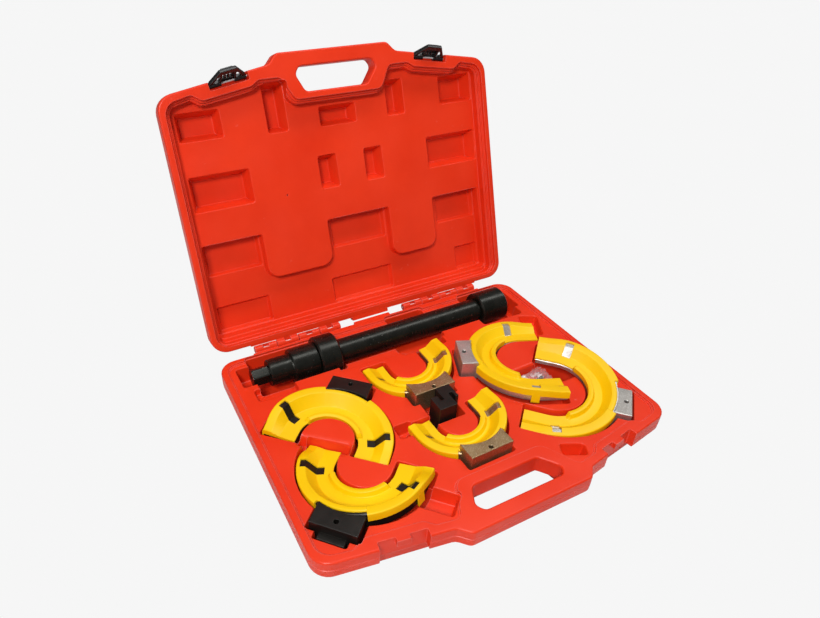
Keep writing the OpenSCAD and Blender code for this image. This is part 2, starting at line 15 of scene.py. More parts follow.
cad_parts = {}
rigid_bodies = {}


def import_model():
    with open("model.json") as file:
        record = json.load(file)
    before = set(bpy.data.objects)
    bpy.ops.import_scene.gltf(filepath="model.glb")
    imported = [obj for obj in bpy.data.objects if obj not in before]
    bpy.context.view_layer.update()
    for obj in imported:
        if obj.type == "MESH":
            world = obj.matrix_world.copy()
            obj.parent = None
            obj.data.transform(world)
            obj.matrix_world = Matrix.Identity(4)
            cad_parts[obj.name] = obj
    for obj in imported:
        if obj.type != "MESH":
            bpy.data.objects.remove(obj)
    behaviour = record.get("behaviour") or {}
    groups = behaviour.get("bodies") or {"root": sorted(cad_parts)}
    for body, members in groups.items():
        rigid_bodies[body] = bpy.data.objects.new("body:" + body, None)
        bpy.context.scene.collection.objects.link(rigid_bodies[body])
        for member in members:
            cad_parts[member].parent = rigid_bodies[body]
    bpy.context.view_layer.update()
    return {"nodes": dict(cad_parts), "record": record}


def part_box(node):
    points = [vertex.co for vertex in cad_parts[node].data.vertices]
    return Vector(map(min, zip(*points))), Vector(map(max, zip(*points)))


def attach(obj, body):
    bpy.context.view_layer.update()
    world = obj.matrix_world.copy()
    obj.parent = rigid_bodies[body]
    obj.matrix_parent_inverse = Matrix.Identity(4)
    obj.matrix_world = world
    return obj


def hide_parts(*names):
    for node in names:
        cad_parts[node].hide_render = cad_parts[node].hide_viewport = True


for leftover in list(bpy.data.objects):
    bpy.data.objects.remove(leftover)
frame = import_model()
joints = {j["name"]: j for j in frame["record"]["behaviour"]["joints"]}

MM_PER_M = 1000.0

# --- frames ----------------------------------------------------------------
SCALE = Matrix.Scale(0.001, 4)
HINGE = Vector(joints["lid_hinge"]["pos_m"])
OPEN = math.radians(joints["lid_hinge"]["range_deg"][0])
CASE = Matrix.Translation(HINGE) @ SCALE
FACE_DOWN = Matrix.Diagonal((1, 1, -1, 1))
LID = Matrix.Translation(HINGE) @ Matrix.Rotation(OPEN, 4, "X") @ SCALE
LID_BOWL = LID @ FACE_DOWN
ALONG_X = Matrix.Rotation(math.pi / 2, 4, "Y")
ALONG_Y = Matrix.Rotation(math.pi / 2, 4, "X")


def turned(x, y, degrees):
    """A frame at x, y turned about Z."""
    return Matrix.Translation((x, y, 0)) @ Matrix.Rotation(math.radians(degrees), 4, "Z")


# --- outlines: control points (x, y, corner radius), anticlockwise ------------
SMALLEST_R = 0.05


def outline(points, grow=0.0):
    """The rounded outline moved outwards by grow; the number of points doesn't depend on grow."""
    result = []
    for i, (x, y, radius) in enumerate(points):
        here = Vector((x, y))
        back = (Vector(points[i - 1][:2]) - here).normalized()
        ahead = (Vector(points[(i + 1) % len(points)][:2]) - here).normalized()
        side = 1.0 if ahead.x * back.y - ahead.y * back.x > 0 else -1.0
        half = math.acos(max(-1.0, min(1.0, back.dot(ahead)))) / 2
        inward = (back + ahead).normalized() / math.sin(half)
        here = here - inward * grow * side
        r = max(radius + grow * side, SMALLEST_R)
        centre = here + inward * r
        start = here + back * r / math.tan(half) - centre
        end = here + ahead * r / math.tan(half) - centre
        first = math.atan2(start.y, start.x)
        sweep = (math.atan2(end.y, end.x) - first + math.pi) % math.tau - math.pi
        steps = max(2, round(abs(sweep) / (math.pi / 2) * (1.9 + 1.13 * math.sqrt(radius))))
        for k in range(steps + 1):
            a = first + sweep * k / steps
            result.append((centre.x + r * math.cos(a), centre.y + r * math.sin(a)))
    return result


def box_points(x0, x1, y0, y1, r):
    return [(x0, y0, r), (x1, y0, r), (x1, y1, r), (x0, y1, r)]


def horseshoe(inner, outer, leg, r=4.0):
    """A half ring with two legs; its round side faces -Y."""
    return [
        (-outer, -outer, outer), (outer, -outer, outer), (outer, leg, r), (inner, leg, r),
        (inner, -inner, inner), (-inner, -inner, inner), (-inner, leg, r), (-outer, leg, r),
    ]


def placed(points, x, y, degrees):
    c, s = math.cos(math.radians(degrees)), math.sin(math.radians(degrees))
    return [(x + px * c - py * s, y + px * s + py * c, r) for px, py, r in points]


# --- solids --------------------------------------------------------------------
def solid(name, verts, faces):
    mesh = bpy.data.meshes.new(name)
    mesh.from_pydata(verts, [], faces)
    mesh.validate()
    bm = bmesh.new()
    bm.from_mesh(mesh)
    bmesh.ops.recalc_face_normals(bm, faces=bm.faces[:])
    if bm.calc_volume(signed=True) < 0:
        bmesh.ops.reverse_faces(bm, faces=bm.faces[:])
    bm.to_mesh(mesh)
    bm.free()
    obj = bpy.data.objects.new(name, mesh)
    bpy.context.scene.collection.objects.link(obj)
    return obj


def loft(name, rings):
    """A closed solid through rings of equal length; rings are lists of 3-D points."""
    n = len(rings[0])
    verts = [p for ring in rings for p in ring]
    faces = [tuple(reversed(range(n))), tuple(range(len(verts) - n, len(verts)))]
    for k in range(len(rings) - 1):
        for i in range(n):
            j = (i + 1) % n
            faces.append((k * n + i, k * n + j, (k + 1) * n + j, (k + 1) * n + i))
    return solid(name, verts, faces)


def prism(name, points, profile):
    """A solid of one outline; profile lists (grow, z) from the bottom to the top."""
    return loft(name, [[(x, y, z) for x, y in outline(points, grow)] for grow, z in profile])


def quarter(steps=3):
    return [math.pi / 2 * k / steps for k in range(steps + 1)]


def cutter_profile(top, floor, draft, lip, fillet):
    """From a filleted floor up a drafted wall to a rounded mouth, then straight on."""
    inset = max(top - floor - lip - fillet, 0) * draft
    low = [(-inset - fillet * (1 - math.sin(t)), floor + fillet * (1 - math.cos(t))) for t in quarter()]
    high = [(lip * (1 - math.cos(t)), top + 0.04 - lip * (1 - math.sin(t))) for t in quarter()]
    return low + high + [(lip, top + 60)]


def boolean(target, tool, operation="DIFFERENCE"):
    change = target.modifiers.new("shape", "BOOLEAN")
    change.object = tool
    change.operation = operation
    change.solver = "MANIFOLD"
    depsgraph = bpy.context.evaluated_depsgraph_get()
    mesh = bpy.data.meshes.new_from_object(target.evaluated_get(depsgraph))
    target.modifiers.clear()
    target.data = mesh
    bpy.data.objects.remove(tool)


def sink(target, points, floor, top=0.0, draft=0.06, lip=1.4, fillet=2.2, inset=0.0):
    profile = [(grow - inset, z) for grow, z in cutter_profile(top, floor, draft, lip, fillet)]
    boolean(target, prism("tool", points, profile))


def circle(radius, sides, y=0.0):
    steps = [math.tau * i / sides for i in range(sides)]
    return [(radius * math.cos(a), y + radius * math.sin(a)) for a in steps]


def bored(target, frame_matrix, radius, z0, z1, sides=32):
    """Cuts a round hole along the frame's Z."""
    tool = loft("tool", [[(x, y, z) for x, y in circle(radius, sides)] for z in (z0, z1)])
    tool.data.transform(frame_matrix)
    if frame_matrix.determinant() < 0:
        tool.data.flip_normals()
    boolean(target, tool)


def bevelled(obj, width, segments=2, angle=35.0):
    change = obj.modifiers.new("edge", "BEVEL")
    change.width = width
    change.segments = segments
    change.limit_method = "ANGLE"
    change.angle_limit = math.radians(angle)
    mesh = bpy.data.meshes.new_from_object(obj.evaluated_get(bpy.context.evaluated_depsgraph_get()))
    obj.modifiers.clear()
    obj.data = mesh
    return obj


def lathe(name, profile, sides=96, shape=None):
    """A solid of revolution about X; profile lists (x, radius) from one end to the other."""
    rings = []
    for x, r in profile:
        ring = []
        for i in range(sides):
            a = math.tau * i / sides
            q = r + (shape(x, a) if shape else 0.0)
            ring.append((x, q * math.cos(a), q * math.sin(a)))
        rings.append(ring)
    return loft(name, rings)


def done(obj, matrix, body, material, nodes, sharp=38.0):
    """Moves a piece from millimetres into the shared frame and hands it to its body."""
    obj.data.transform(matrix)
    if matrix.determinant() < 0:
        obj.data.flip_normals()
    bm = bmesh.new()
    bm.from_mesh(obj.data)
    bmesh.ops.triangulate(bm, faces=[face for face in bm.faces if len(face.verts) > 4])
    bm.to_mesh(obj.data)
    bm.free()
    obj.data.validate()
    obj.data.materials.clear()
    obj.data.materials.append(material)
    for polygon in obj.data.polygons:
        polygon.use_smooth = True
    obj.data.set_sharp_from_angle(angle=math.radians(sharp))
    weighted = obj.modifiers.new("normals", "WEIGHTED_NORMAL")
    weighted.keep_sharp = True
    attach(obj, body)
    if nodes:
        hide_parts(*nodes)
    return obj


# --- materials -------------------------------------------------------------------
class Tree:
    """Short names for building a node material."""

    def __init__(self, name):
        self.material = bpy.data.materials.new(name)
        self.material.use_nodes = True
        self.nodes = self.material.node_tree.nodes
        self.links = self.material.node_tree.links
        self.shader = self.nodes["Principled BSDF"]
        self.place = self.nodes.new("ShaderNodeTexCoord").outputs["Object"]

    def put(self, socket, value):
        if isinstance(value, bpy.types.NodeSocket):
            self.links.new(value, socket)
        elif isinstance(value, (tuple, list)) and len(value) == 3 and socket.type == "RGBA":
            socket.default_value = (*value, 1.0)
        else:
            socket.default_value = value

    def noise(self, scale, detail=3.0, roughness=0.5, stretch=None):
        place = self.place
        if stretch:
            mapping = self.nodes.new("ShaderNodeMapping")
            mapping.inputs["Scale"].default_value = stretch
            self.links.new(place, mapping.inputs["Vector"])
            place = mapping.outputs["Vector"]
        node = self.nodes.new("ShaderNodeTexNoise")
        self.put(node.inputs["Vector"], place)
        self.put(node.inputs["Scale"], scale)
        self.put(node.inputs["Detail"], detail)
        self.put(node.inputs["Roughness"], roughness)
        return node.outputs["Fac"]

    def cells(self, scale):
        node = self.nodes.new("ShaderNodeTexVoronoi")
        self.put(node.inputs["Vector"], self.place)
        self.put(node.inputs["Scale"], scale)
        split = self.nodes.new("ShaderNodeSeparateColor")
        self.put(split.inputs["Color"], node.outputs["Color"])
        return split.outputs["Red"]

    def map(self, value, low, high, to_low=0.0, to_high=1.0):
        node = self.nodes.new("ShaderNodeMapRange")
        keys = ("Value", "From Min", "From Max", "To Min", "To Max")
        for key, item in zip(keys, (value, low, high, to_low, to_high)):
            self.put(node.inputs[key], item)
        return node.outputs["Result"]

    def math(self, kind, a, b=0.0):
        node = self.nodes.new("ShaderNodeMath")
        node.operation = kind
        self.put(node.inputs[0], a)
        self.put(node.inputs[1], b)
        return node.outputs[0]

    def mix(self, fac, a, b):
        node = self.nodes.new("ShaderNodeMix")
        node.data_type = "RGBA"
        self.put(node.inputs["Factor"], fac)
        self.put(node.inputs["A"], a)
        self.put(node.inputs["B"], b)
        return node.outputs["Result"]

    def bump(self, height, distance, strength, normal=None):
        node = self.nodes.new("ShaderNodeBump")
        self.put(node.inputs["Height"], height)
        self.put(node.inputs["Distance"], distance)
        self.put(node.inputs["Strength"], strength)
        if normal is not None:
            self.put(node.inputs["Normal"], normal)
        return node.outputs["Normal"]

    def edges(self, radius, low=0.02, high=0.25):
        """One on edges, zero on flats."""
        bevel = self.nodes.new("ShaderNodeBevel")
        bevel.samples = 4
        bevel.inputs["Radius"].default_value = radius
        normal = self.nodes.new("ShaderNodeNewGeometry").outputs["Normal"]
        dot = self.nodes.new("ShaderNodeVectorMath")
        dot.operation = "DOT_PRODUCT"
        self.put(dot.inputs[0], bevel.outputs["Normal"])
        self.put(dot.inputs[1], normal)
        return self.map(self.math("SUBTRACT", 1.0, dot.outputs["Value"]), low, high)

    def set(self, **inputs):
        for key, value in inputs.items():
            self.put(self.shader.inputs[key.replace("_", " ")], value)
        return self.material


def plastic(name, colour, deep, rough, grain, wave, wear_and_edge_sheen):
    """Moulded plastic: clouded colour, fine grain, slow waves and pale edges that are partly rubbed wear and
    partly painted highlight.
    """
    t = Tree(name)
    cloud = t.map(t.noise(9.0, 4.0), 0.35, 0.7)
    base = t.mix(cloud, colour, deep)
    scuffs = t.map(t.noise(60.0, 6.0, 0.7, (1.0, 3.0, 1.0)), 0.66, 0.8, 0.0, wear_and_edge_sheen)
    base = t.mix(scuffs, base, tuple(min(1.0, c * 0.6 + 0.4) for c in colour))
    # Pale edge lines: part edge wear, part painted highlight standing in for the bright specular edges.
    rubbed_and_highlit_edges = t.math("MULTIPLY", t.edges(0.0014), t.map(t.noise(35.0), 0.3, 0.75, wear_and_edge_sheen * 0.6, wear_and_edge_sheen * 2.2))
    base = t.mix(rubbed_and_highlit_edges, base, tuple(min(1.0, c * 0.55 + 0.4) for c in colour))
    normal = t.bump(t.noise(14.0, 2.0), 0.004, wave)
    normal = t.bump(t.noise(1500.0, 3.0, 0.6), 0.00012, grain, normal)
    roughness = t.map(t.noise(22.0, 5.0), 0.3, 0.75, rough * 0.85, rough * 1.25)
    return t.set(Base_Color=base, Roughness=roughness, Normal=normal, IOR=1.38)


def steel(name, colour, second, rough, metallic, grain_scale, grain, edge_colour, edge,
          sparkle=0.0, bright=None, flecks=0.0, wave=0.12):
    """Coated or oiled steel: mottled coat, grain, sparkle, pale flecks and bright worn edges."""
    t = Tree(name)
    mottled = t.mix(t.map(t.noise(45.0, 6.0, 0.6), 0.35, 0.7), colour, second)
    if sparkle:
        glint = t.map(t.cells(grain_scale), 0.8, 1.0, 0.0, sparkle)
        mottled = t.mix(glint, mottled, bright or edge_colour)
    if flecks:
        spots = t.map(t.noise(420.0, 2.0, 0.4), 0.74, 0.76, 0.0, flecks)
        mottled = t.mix(spots, mottled, (0.5, 0.5, 0.47))
    worn = t.math("MULTIPLY", t.edges(0.0009), t.map(t.noise(120.0, 4.0), 0.3, 0.6, 0.35, 1.0))
    worn = t.math("MULTIPLY", worn, edge)
    base = t.mix(worn, mottled, edge_colour)
    normal = t.bump(t.noise(30.0, 3.0), 0.001, wave)
    normal = t.bump(t.noise(grain_scale, 4.0, 0.65), 0.0002, grain, normal)
    roughness = t.map(t.noise(60.0, 6.0, 0.7), 0.3, 0.7, rough * 0.8, rough * 1.3)
    return t.set(Base_Color=base, Roughness=roughness, Metallic=metallic, Normal=normal)


def film(name):
    """Thin clear film with painted highlights along its creases, which are whiter and less clear there."""
    t = Tree(name)
    # Painted highlight: the creases are painted white and made more opaque.
    crease_highlights = t.map(t.noise(60.0, 2.0, 0.4, (1.0, 0.4, 1.0)), 0.60, 0.64)
    normal = t.bump(t.noise(55.0, 2.0, 0.4), 0.003, 0.7)
    base = t.mix(crease_highlights, (0.85, 0.87, 0.88), (1.0, 1.0, 1.0))
    clear = t.map(crease_highlights, 0.0, 1.0, 0.13, 0.6)
    return t.set(Base_Color=base, Roughness=0.12, IOR=1.35, Alpha=clear, Normal=normal)


RED = plastic("red shell", (0.82, 0.042, 0.010), (0.74, 0.030, 0.005), 0.36, 0.2, 0.04, 0.3)
YELLOW = plastic("yellow guard", (0.93, 0.60, 0.0), (0.88, 0.53, 0.0), 0.42, 0.12, 0.03, 0.03)
LATCH = plastic("black latch", (0.010, 0.010, 0.010), (0.016, 0.016, 0.016), 0.22, 0.2, 0.05, 0.12)
OXIDE = steel("black oxide", (0.010, 0.011, 0.008), (0.020, 0.020, 0.016), 0.27, 0.6, 900.0, 0.02,
              (0.12, 0.12, 0.10), 0.6, 0.0, (0.14, 0.14, 0.12), 0.4, 0.01)
BLACK = steel("black yoke steel", (0.014, 0.012, 0.010), (0.020, 0.017, 0.014), 0.36, 0.5, 1300.0, 0.4,
              (0.09, 0.09, 0.08), 0.7, 0.08, (0.08, 0.07, 0.06))
BRONZE = steel("bronze lacquer", (0.35, 0.225, 0.105), (0.43, 0.30, 0.155), 0.36, 0.85, 1500.0, 0.9,
               (0.85, 0.74, 0.56), 1.0, 0.55, (0.90, 0.78, 0.58))
SILVER = steel("silver lacquer", (0.50, 0.47, 0.43), (0.58, 0.55, 0.51), 0.38, 0.8, 1200.0, 1.0,
               (0.85, 0.85, 0.85), 0.9, 0.5, (0.92, 0.92, 0.91))
MACHINED = steel("machined steel", (0.5, 0.5, 0.5), (0.4, 0.4, 0.4), 0.28, 1.0, 700.0, 0.2,
                 (0.8, 0.8, 0.8), 0.3)
OILED = steel("oiled steel", (0.09, 0.09, 0.085), (0.14, 0.14, 0.13), 0.32, 0.9, 800.0, 0.25,
              (0.35, 0.35, 0.33), 0.5)
NUT = steel("nut bronze", (0.5, 0.33, 0.12), (0.42, 0.27, 0.10), 0.3, 1.0, 800.0, 0.2, (0.8, 0.6, 0.3), 0.4)
# Pin steel made pale and only half metallic: the light colour is painted glint, so the pins show bright in
# the knuckle windows.
PAINTED_GLINT_PIN = steel("pin steel with painted glint", (0.80, 0.80, 0.80), (0.70, 0.70, 0.70), 0.3, 0.4, 700.0, 0.2, (0.9, 0.9, 0.9), 0.3)
FILM = film("clear film")

# --- case sizes ---------------------------------------------------------------------
HALF_W = 260.0
REAR_Y = -8.0
SIDE_Y = -371.5
NOSE_X, NOSE_Y = 100.0, -397.3
GRIP_X, GRIP_Y = 87.0, -411.0
SLOPE = math.degrees(math.atan2(SIDE_Y - NOSE_Y, HALF_W - NOSE_X))
BASE_H = 48.0
BAND_H = 26.0
# The rims stop this far short of the closing plane, so that the closed halves only meet.
RIM_GAP = 0.1
DECK = -4.0
PANEL = -22.0
WELL = -37.0
KISS = -44.0
LATCH_X = 160.0
LATCH_INSET = 5.5
LATCH_W = 54.0
LATCH_PIN_Z = 9.0
LATCH_ARM = 26.0
LATCH_TIP = 24.0
LATCH_BAR = 7.0
LATCH_OPEN = 30.0
TAB_H = 9.0
TAB_W = 17.0

RIM = [
    (-HALF_W, REAR_Y, 25), (-HALF_W, SIDE_Y, 25), (-NOSE_X, NOSE_Y, 12), (-GRIP_X, GRIP_Y, 10),
    (GRIP_X, GRIP_Y, 10), (NOSE_X, NOSE_Y, 12), (HALF_W, SIDE_Y, 25), (HALF_W, REAR_Y, 25),
]
DECK_LINE = [
    (-HALF_W + 9, -17, 18), (-HALF_W + 9, -362, 20), (-213, -370, 8), (-200, -361, 8), (-129, -372, 8),
    (-118, -383, 8), (-88, -388, 10), (-64, -341, 16), (64, -341, 16), (88, -388, 10), (118, -383, 8),
    (129, -372, 8), (200, -361, 8), (213, -370, 8), (HALF_W - 9, -362, 20), (HALF_W - 9, -17, 18),
]
PANEL_LINE = [
    (-HALF_W + 9, -17, 18), (-HALF_W + 9, -362, 20), (-213, -370, 8), (-200, -361, 8), (-129, -372, 8),
    (-118, -379, 8), (-86, -379, 10), (-69, -347, 12), (69, -347, 12), (86, -379, 10), (118, -379, 8),
    (129, -372, 8), (200, -361, 8), (213, -370, 8), (HALF_W - 9, -362, 20), (HALF_W - 9, -17, 18),
]
GRIP_HOLE = [
    (-51, -356, 9), (-63, -380, 8), (-56, -390.5, 8), (58, -390.5, 8), (65, -380, 8), (47, -356, 9),
]


def body_line(inset):
    return [
        (-HALF_W + inset, REAR_Y - 2, 22), (-HALF_W + inset, SIDE_Y + inset + 4, 22),
        (-96, NOSE_Y + inset + 6, 8), (-76, NOSE_Y + inset + 4, 6), (-68, -347, 8), (68, -347, 8),
        (76, NOSE_Y + inset + 4, 6), (96, NOSE_Y + inset + 6, 8), (HALF_W - inset, SIDE_Y + inset + 4, 22),
        (HALF_W - inset, REAR_Y - 2, 22),
    ]


def edge_y(x):
    return SIDE_Y - (HALF_W - abs(x)) * math.tan(math.radians(SLOPE))


def latch_frame(side):
    return turned(side * LATCH_X, edge_y(LATCH_X), side * SLOPE) @ Matrix.Translation((0, LATCH_INSET, 0))


def shell_body(name):
    """The outer form of one half: a wide band over a set-back lower body."""
    seam = -BAND_H / 2
    band = [(-2.2, -BAND_H), (-0.9, -BAND_H + 0.7), (-0.3, -BAND_H + 2.2), (0, seam - 1.0),
            (-0.5, seam - 0.6), (-0.5, seam + 0.2), (0, seam + 0.6)]
    band += [(-2.6 * (1 - math.cos(t)), -RIM_GAP - 2.6 * (1 - math.sin(t))) for t in quarter(4)]
    half = prism(name, RIM, band)
    low = [(-5.0 * (1 - math.sin(t)) - 2.0, -BASE_H + 5.0 * (1 - math.cos(t))) for t in quarter(4)]
    low += [(0, -BAND_H - 2.0), (2.0, -BAND_H), (2.0, -BAND_H + 3)]
    boolean(half, prism("tool", body_line(7.0), low), "UNION")
    return half


def grip_cut(half):
    lip, under = 3.0, -BAND_H
    profile = [(lip, -60.0)]
    profile += [(lip * (1 - math.sin(t)), under - 0.04 + lip * (1 - math.cos(t))) for t in quarter()]
    profile += [(lip * (1 - math.cos(t)), 0.04 - lip * (1 - math.sin(t))) for t in quarter()]
    boolean(half, prism("tool", GRIP_HOLE, profile + [(lip, 20.0)]))


KNUCKLE_R = 6.0
KNUCKLE_W = 35.5
KNUCKLE_X = 57.5
KNUCKLE_GAP = 0.8
PIN_BORE_R = 1.55

# Ledges that close the gap along the hinge: x0, x1, reach towards the axis.
LEDGES = [(-204, -30, -6.7), (-34, 30, -1.2), (26, 204, -6.7)]


def knuckles(half, first, from_case):
    """Alternating barrels along the two hinge groups, with a window over the pin in each of them."""
    for x0, x1, reach in LEDGES:
        ledge = prism("tool", box_points(x0, x1, REAR_Y - 3, reach, 0.8), [(-0.4, -10), (0, -9.4), (0, -0.4)])
        boolean(half, ledge, "UNION")
    windows = []
    for side in (-1, 1):
        for i in (first, first + 2):
            x = KNUCKLE_X + i * KNUCKLE_W if side > 0 else -KNUCKLE_X - (4 - i) * KNUCKLE_W
            x1 = x + KNUCKLE_W - KNUCKLE_GAP
            r = KNUCKLE_R
            barrel = lathe("tool", [(x, r - 0.8), (x + 0.8, r), (x1 - 0.8, r), (x1, r - 0.8)], 40)
            boolean(half, barrel, "UNION")
            web = box_points(x + 0.4, x1 - 0.4, REAR_Y - 3.5, 0.5, 0.4)
            boolean(half, prism("tool", web, [(0, -r + 1.2), (0, -0.4)]), "UNION")
            windows.append((x + x1) / 2)
    for side in (-1, 1):
        x = KNUCKLE_X if side > 0 else -KNUCKLE_X - 4 * KNUCKLE_W
        bored(half, ALONG_X, PIN_BORE_R, x - 2, x + 4 * KNUCKLE_W + 2, 20)
    for x in windows:
        window = prism("tool", box_points(x - 5, x + 5, -4.2, 3.2, 0.8), [(0, -0.4), (0, 9)])
        window.data.transform(from_case)
        if from_case.determinant() < 0:
            window.data.flip_normals()
        boolean(half, window)


# --- base ---------------------------------------------------------------------------
YOKE_SIZES = {
    "small": {"ri": 31.0, "ro": 62.0, "leg": 20.0, "block": 64.0, "reach": 74.0, "neck": 0.5, "arc": 57.0,
              "rim": 12.0, "crest": 6.5, "foot": 18.5, "taper": 0.3,
              "windows": ((-83.0, 8.0, 19.0, 4.5), (74.0, 2.8, 23.0, 6.0))},
    "medium": {"ri": 39.0, "ro": 82.0, "leg": 16.0, "block": 59.0, "reach": 105.0, "neck": 9.0, "arc": 81.0,
               "rim": 16.0, "crest": 8.5, "foot": 20.5, "taper": 0.8,
               "windows": ((-72.0, 2.6, 31.0, 6.5), (72.0, 2.6, 31.0, 6.5))},
    "large": {"ri": 50.0, "ro": 89.0, "leg": 30.0, "block": 54.0, "reach": 107.0, "neck": 3.0, "arc": 87.0,
              "rim": 12.0, "crest": 9.5, "foot": 20.0, "taper": 0.45,
              "windows": ((-80.0, 2.8, 23.0, 6.0), (80.0, 2.8, 23.0, 6.0))},
}
# Yoke places: size, x, y, turn, seat height, block top, tilt, pocket floor.
YOKES = {
    "small_rear": ("small", -7, -130, 0, -7, 12, 8, -27.5),
    "small_front": ("small", -3.5, -255.5, 1, -7, 11.5, 8, -27.5),
    "medium_rear": ("medium", -172, -207, 136, -12, 7, 6, -32),
    "medium_front": ("medium", -148.5, -268, -47, -13, 5, 8, -36),
    "large_left": ("large", 161, -198, 247, -4, 17, 5, -22.5),
    "large_right": ("large", 153, -262, 43.5, -6, 1, 8, -35),
}
# Spindle trough and finger wells: x0, x1, y0, y1, floor, corner radius, mouth rounding.
TROUGHS = [
    (-239, -215, -69, -27, -30, 4, 1.5), (-219.3, -84, -88, -12.5, -43.2, 4, 1.5),
    (-90, 160, -80, -26, -31, 4, 2), (16, 84, -90, -12.6, -29, 5, 2), (-1, 77, -106, -70, -26, 5, 2),
    (156, 232.5, -96, -12.4, -38, 5, 1.5), (226, 241, -76, -26.5, -32, 4, 1.5),
    (-100, 20, -98.5, -76, -11, 4, 1.5), (-228.5, -170, -106, -80, -14, 5, 2),
    (-33, 13, -250, -203, -30, 3, 1.5), (122, 203, -256, -209, -30, 6, 5),
    (-88, -62, -252, -228, -24, 4, 1.5),
]
# Wells that lie at an angle: x, y, turn, length, width, floor, mouth rounding.
TURNED_WELLS = [
    (-97, -353, -47, 46, 32, -22, 2), (100, -364, -26, 32, 18, -22, 2),
    (222, -130, 63, 50, 30, -18, 2), (-186, -224, -47, 44, 30, -30, 2), (-181, -214.5, -41, 68, 14, -22, 7),
]


YOKE_GAP = 4.0


def build_base():
    base = shell_body("case_base")
    knuckles(base, 0, Matrix.Identity(4))
    sink(base, DECK_LINE, DECK + 1.6, draft=0.0, lip=0.7, fillet=0.4)
    sink(base, DECK_LINE, DECK, DECK + 1.6, draft=0.0, lip=0.5, fillet=0.5, inset=2.2)
    grip_cut(base)
    for kind, x, y, angle, _seat, _top, _tilt, floor in YOKES.values():
        s, gap = YOKE_SIZES[kind], YOKE_GAP
        ring = horseshoe(s["ri"] - gap, s["ro"] + gap + 1.5, s["leg"] + gap)
        sink(base, placed(ring, x, y, angle), floor, DECK)
        b = s["block"] / 2 + gap
        block = box_points(-b, b, -s["reach"] - gap + 1, -s["ro"] + 14, 3)
        sink(base, placed(block, x, y, angle), floor, DECK)
        if s["neck"] > 4:
            half, end = NECK_HALF + gap, -s["reach"] - s["neck"] - gap + 1
            neck = box_points(-half, half, end, -s["reach"] + 6, 3)
            sink(base, placed(neck, x, y, angle), floor, DECK)
    for x0, x1, y0, y1, floor, r, lip in TROUGHS:
        sink(base, box_points(x0, x1, y0, y1, r), floor, DECK, lip=lip)
    for x, y, angle, length, width, floor, lip in TURNED_WELLS:
        well = box_points(-length / 2, length / 2, -width / 2, width / 2, 4)
        sink(base, placed(well, x, y, angle), floor, DECK, draft=0.25, lip=lip)
    for side in (-1, 1):
        here = latch_frame(side)
        width = (LATCH_W + 5 - TAB_W) / 2
        for arm in (-1, 1):
            mid = arm * (TAB_W + width) / 2
            slot = box_points(mid - width / 2, mid + width / 2, -20, 4.5, 1.5)
            catch_cut(base, here, slot, [(0.6, -BAND_H - 1), (0, -BAND_H + 1)] + MOUTH)
        wide = box_points(-LATCH_W / 2 - 2.5, LATCH_W / 2 + 2.5, -20, 4.5, 1.5)
        catch_cut(base, here, wide, [(0, -BAND_H - 1), (0, -TAB_H)])
        tab = box_points(-TAB_W / 2 - 1, TAB_W / 2 + 1, -20, -1.5, 1)
        catch_cut(base, here, tab, [(0, -TAB_H - 1), (0, 1)])
    return done(base, CASE, "base", RED, ["base_shell"])


# The rounded top of the catch and latch cuts: (grow, z).
MOUTH = [(0, -1.2), (0.4, -0.35), (1.2, 0.04), (1.2, 5)]


def catch_cut(target, here, points, profile):
    tool = prism("tool", points, profile)
    tool.data.transform(here)
    boolean(target, tool)


# --- lid ------------------------------------------------------------------------------
WELL_LINE = [
    (-243, -24, 8), (-240, -165, 3), (-148.5, -165, 3), (-148.5, -95.7, 18), (-41.5, -95.7, 18),
    (-41.5, -165, 3), (66.6, -165, 3), (66.6, -83.4, 18), (150, -83.4, 18), (150, -165, 3), (240, -165, 3),
    (243, -24, 8),
]
# Pockets in the lid's panel, then in its well: x0, x1, y0, y1.
LID_POCKETS = [
    (-237, -176, -349, -311), (-110, -80, -374, -306), (-28, 31, -333, -305), (86, 116, -358, -306),
    (183, 242, -353, -311), (150, 242, -263, -214), (-41.5, -12, -263, -214), (36, 66.6, -263, -214),
    (-237, -149.5, -263, -214),
]
WELL_POCKETS = [
    (-236, -153, -165, -117), (-33, 62, -165, -117), (163, 238, -165, -117),
    (-236, -152, -68, -28), (-44, 65, -68, -28), (193, 238, -68, -28),
]


def build_lid():
    lid = shell_body("case_lid")
    knuckles(lid, 1, LID_BOWL.inverted() @ CASE)
    # Two ledges run round the front and the sides inside the rim.
    top = 0.0
    for inset, floor in ((0.0, -6.0), (3.2, -9.5), (6.0, PANEL)):
        line = [(x, y + (inset if y > -30 else 0.0), radius) for x, y, radius in PANEL_LINE]
        sink(lid, line, floor, top, draft=0.0, lip=0.9, fillet=0.6, inset=inset)
        top = floor
    grip_cut(lid)
    sink(lid, WELL_LINE, WELL, PANEL, draft=0.12, lip=2.2, fillet=2.0)
    for x0, x1, y0, y1 in LID_POCKETS:
        sink(lid, box_points(x0, x1, y0, y1, 3), KISS, PANEL, draft=0.3, lip=1.6, fillet=2.0)
    for x0, x1, y0, y1 in WELL_POCKETS:
        sink(lid, box_points(x0, x1, y0, y1, 3), KISS, WELL, draft=0.5, lip=1.2, fillet=1.5)
    for side in (-1, 1):
        seat = box_points(-LATCH_W / 2 - 1.5, LATCH_W / 2 + 1.5, -20, LATCH_INSET, 1.5)
        catch_cut(lid, latch_frame(side), seat, [(0, -19)] + MOUTH)
        along = latch_frame(side) @ Matrix.Translation((0, 0, -LATCH_PIN_Z)) @ ALONG_X
        bored(lid, along, PIN_BORE_R, -LATCH_W / 2 - 6, LATCH_W / 2 + 6, 20)
    bored(lid, Matrix.Translation((-99, -215, PANEL)), 1.4, -18, 4, 16)
    return done(lid, LID_BOWL, "lid", RED, ["lid_shell"])


